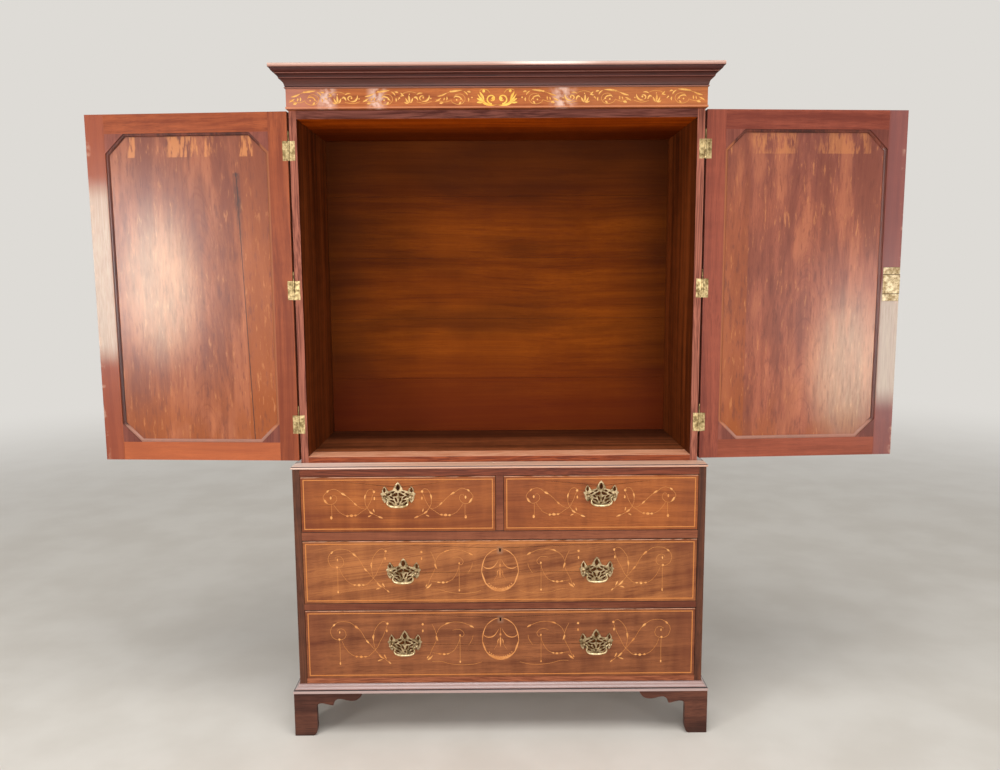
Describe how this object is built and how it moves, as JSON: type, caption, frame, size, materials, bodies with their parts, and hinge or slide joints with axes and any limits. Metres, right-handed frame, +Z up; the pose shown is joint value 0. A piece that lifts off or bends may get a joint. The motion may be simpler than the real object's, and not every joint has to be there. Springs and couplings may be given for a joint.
{
  "type": "linen press",
  "caption": "Cupboard with hinged panelled doors over a chest of drawers with swan-neck bail handles, on bracket feet, with an inlaid frieze and a moulded cornice.",
  "frame": {"origin": "on the floor, under the middle of the bounding box", "axes": "+X to the right as seen from the front, +Y to the back, +Z up"},
  "size_m": [2.4329, 0.5055, 2.018],
  "materials": {
    "mahogany": "polished, worn",
    "figured_mahogany": "polished veneer with light stringing and scroll inlay",
    "secondary_wood": "stained, unpolished",
    "brass": "aged"
  },
  "bodies": {
    "case": {"lower_left_side": "mahogany", "lower_right_side": "mahogany", "lower_back": "secondary_wood", "lower_top": "mahogany", "lower_bottom": "secondary_wood", "drawer_rails": "mahogany", "drawer_runners": "secondary_wood", "waist_moulding": "mahogany", "base_moulding": "mahogany", "bracket_feet": "mahogany", "upper_left_side": "mahogany", "upper_right_side": "mahogany", "upper_top": "mahogany", "upper_bottom": "mahogany", "upper_back": "secondary_wood", "frieze": "figured_mahogany", "cornice": "mahogany", "case_hinge_leaves": "brass", "hinge_pins": "brass", "case_hinge_screws": "brass"},
    "left_door": {"left_door_stiles": "mahogany", "left_door_rails": "mahogany", "left_door_panel": "figured_mahogany", "left_door_corners": "mahogany", "left_door_moulding": "mahogany", "left_door_hinge_leaves": "brass", "left_door_hinge_screws": "brass"},
    "right_door": {"right_door_stiles": "mahogany", "right_door_rails": "mahogany", "right_door_panel": "figured_mahogany", "right_door_corners": "mahogany", "right_door_moulding": "mahogany", "right_door_hinge_leaves": "brass", "right_door_hinge_screws": "brass", "door_lock": "brass"},
    "left_door_top_bolt": {"left_door_top_bolt": "brass"},
    "left_door_bottom_bolt": {"left_door_bottom_bolt": "brass"},
    "door_lock_bolt": {"door_lock_bolt": "brass"},
    "left_short_drawer": {"left_short_drawer_front": "figured_mahogany", "left_short_drawer_box": "secondary_wood", "left_short_drawer_brasses": "brass"},
    "left_short_drawer_lock_bolt": {"left_short_drawer_lock_bolt": "brass"},
    "left_short_drawer_bail": {"left_short_drawer_bail": "brass"},
    "right_short_drawer": {"right_short_drawer_front": "figured_mahogany", "right_short_drawer_box": "secondary_wood", "right_short_drawer_brasses": "brass"},
    "right_short_drawer_lock_bolt": {"right_short_drawer_lock_bolt": "brass"},
    "right_short_drawer_bail": {"right_short_drawer_bail": "brass"},
    "middle_drawer": {"middle_drawer_front": "figured_mahogany", "middle_drawer_box": "secondary_wood", "middle_drawer_brasses": "brass"},
    "middle_drawer_lock_bolt": {"middle_drawer_lock_bolt": "brass"},
    "middle_drawer_left_bail": {"middle_drawer_left_bail": "brass"},
    "middle_drawer_right_bail": {"middle_drawer_right_bail": "brass"},
    "bottom_drawer": {"bottom_drawer_front": "figured_mahogany", "bottom_drawer_box": "secondary_wood", "bottom_drawer_brasses": "brass"},
    "bottom_drawer_lock_bolt": {"bottom_drawer_lock_bolt": "brass"},
    "bottom_drawer_left_bail": {"bottom_drawer_left_bail": "brass"},
    "bottom_drawer_right_bail": {"bottom_drawer_right_bail": "brass"}
  },
  "joints": [
    {"name": "left_door_hinge", "type": "hinge", "parent": "case", "child": "left_door", "pos_m": [-0.60925, -0.1845, 1.38], "axis": [0, 0, 1], "range_deg": [0, 183.5]},
    {"name": "right_door_hinge", "type": "hinge", "parent": "case", "child": "right_door", "pos_m": [0.60925, -0.1845, 1.38], "axis": [0, 0, -1], "range_deg": [0, 183.5]},
    {"name": "left_door_top_bolt_slide", "type": "slide", "parent": "left_door", "child": "left_door_top_bolt", "axis": [0, 0, 1], "range_m": [0, 0.011]},
    {"name": "left_door_bottom_bolt_slide", "type": "slide", "parent": "left_door", "child": "left_door_bottom_bolt", "axis": [0, 0, -1], "range_m": [0, 0.011]},
    {"name": "door_lock_bolt_slide", "type": "slide", "parent": "right_door", "child": "door_lock_bolt", "axis": [0.9981, 0.061, 0], "range_m": [0, 0.01]},
    {"name": "left_short_drawer_slide", "type": "slide", "parent": "case", "child": "left_short_drawer", "axis": [0, -1, 0], "range_m": [0, 0.36]},
    {"name": "left_short_drawer_lock_bolt_slide", "type": "slide", "parent": "left_short_drawer", "child": "left_short_drawer_lock_bolt", "axis": [0, 0, 1], "range_m": [0, 0.008]},
    {"name": "left_short_drawer_bail_pivot", "type": "hinge", "parent": "left_short_drawer", "child": "left_short_drawer_bail", "pos_m": [-0.30725, -0.24725, 0.761], "axis": [-1, 0, 0], "range_deg": [-20, 170]},
    {"name": "right_short_drawer_slide", "type": "slide", "parent": "case", "child": "right_short_drawer", "axis": [0, -1, 0], "range_m": [0, 0.36]},
    {"name": "right_short_drawer_lock_bolt_slide", "type": "slide", "parent": "right_short_drawer", "child": "right_short_drawer_lock_bolt", "axis": [0, 0, 1], "range_m": [0, 0.008]},
    {"name": "right_short_drawer_bail_pivot", "type": "hinge", "parent": "right_short_drawer", "child": "right_short_drawer_bail", "pos_m": [0.30725, -0.24725, 0.761], "axis": [-1, 0, 0], "range_deg": [-20, 170]},
    {"name": "middle_drawer_slide", "type": "slide", "parent": "case", "child": "middle_drawer", "axis": [0, -1, 0], "range_m": [0, 0.36]},
    {"name": "middle_drawer_lock_bolt_slide", "type": "slide", "parent": "middle_drawer", "child": "middle_drawer_lock_bolt", "axis": [0, 0, 1], "range_m": [0, 0.008]},
    {"name": "middle_drawer_left_bail_pivot", "type": "hinge", "parent": "middle_drawer", "child": "middle_drawer_left_bail", "pos_m": [-0.296, -0.24725, 0.5225], "axis": [-1, 0, 0], "range_deg": [-20, 170]},
    {"name": "middle_drawer_right_bail_pivot", "type": "hinge", "parent": "middle_drawer", "child": "middle_drawer_right_bail", "pos_m": [0.296, -0.24725, 0.5225], "axis": [-1, 0, 0], "range_deg": [-20, 170]},
    {"name": "bottom_drawer_slide", "type": "slide", "parent": "case", "child": "bottom_drawer", "axis": [0, -1, 0], "range_m": [0, 0.36]},
    {"name": "bottom_drawer_lock_bolt_slide", "type": "slide", "parent": "bottom_drawer", "child": "bottom_drawer_lock_bolt", "axis": [0, 0, 1], "range_m": [0, 0.008]},
    {"name": "bottom_drawer_left_bail_pivot", "type": "hinge", "parent": "bottom_drawer", "child": "bottom_drawer_left_bail", "pos_m": [-0.296, -0.24725, 0.291], "axis": [-1, 0, 0], "range_deg": [-20, 170]},
    {"name": "bottom_drawer_right_bail_pivot", "type": "hinge", "parent": "bottom_drawer", "child": "bottom_drawer_right_bail", "pos_m": [0.296, -0.24725, 0.291], "axis": [-1, 0, 0], "range_deg": [-20, 170]}
  ]
}
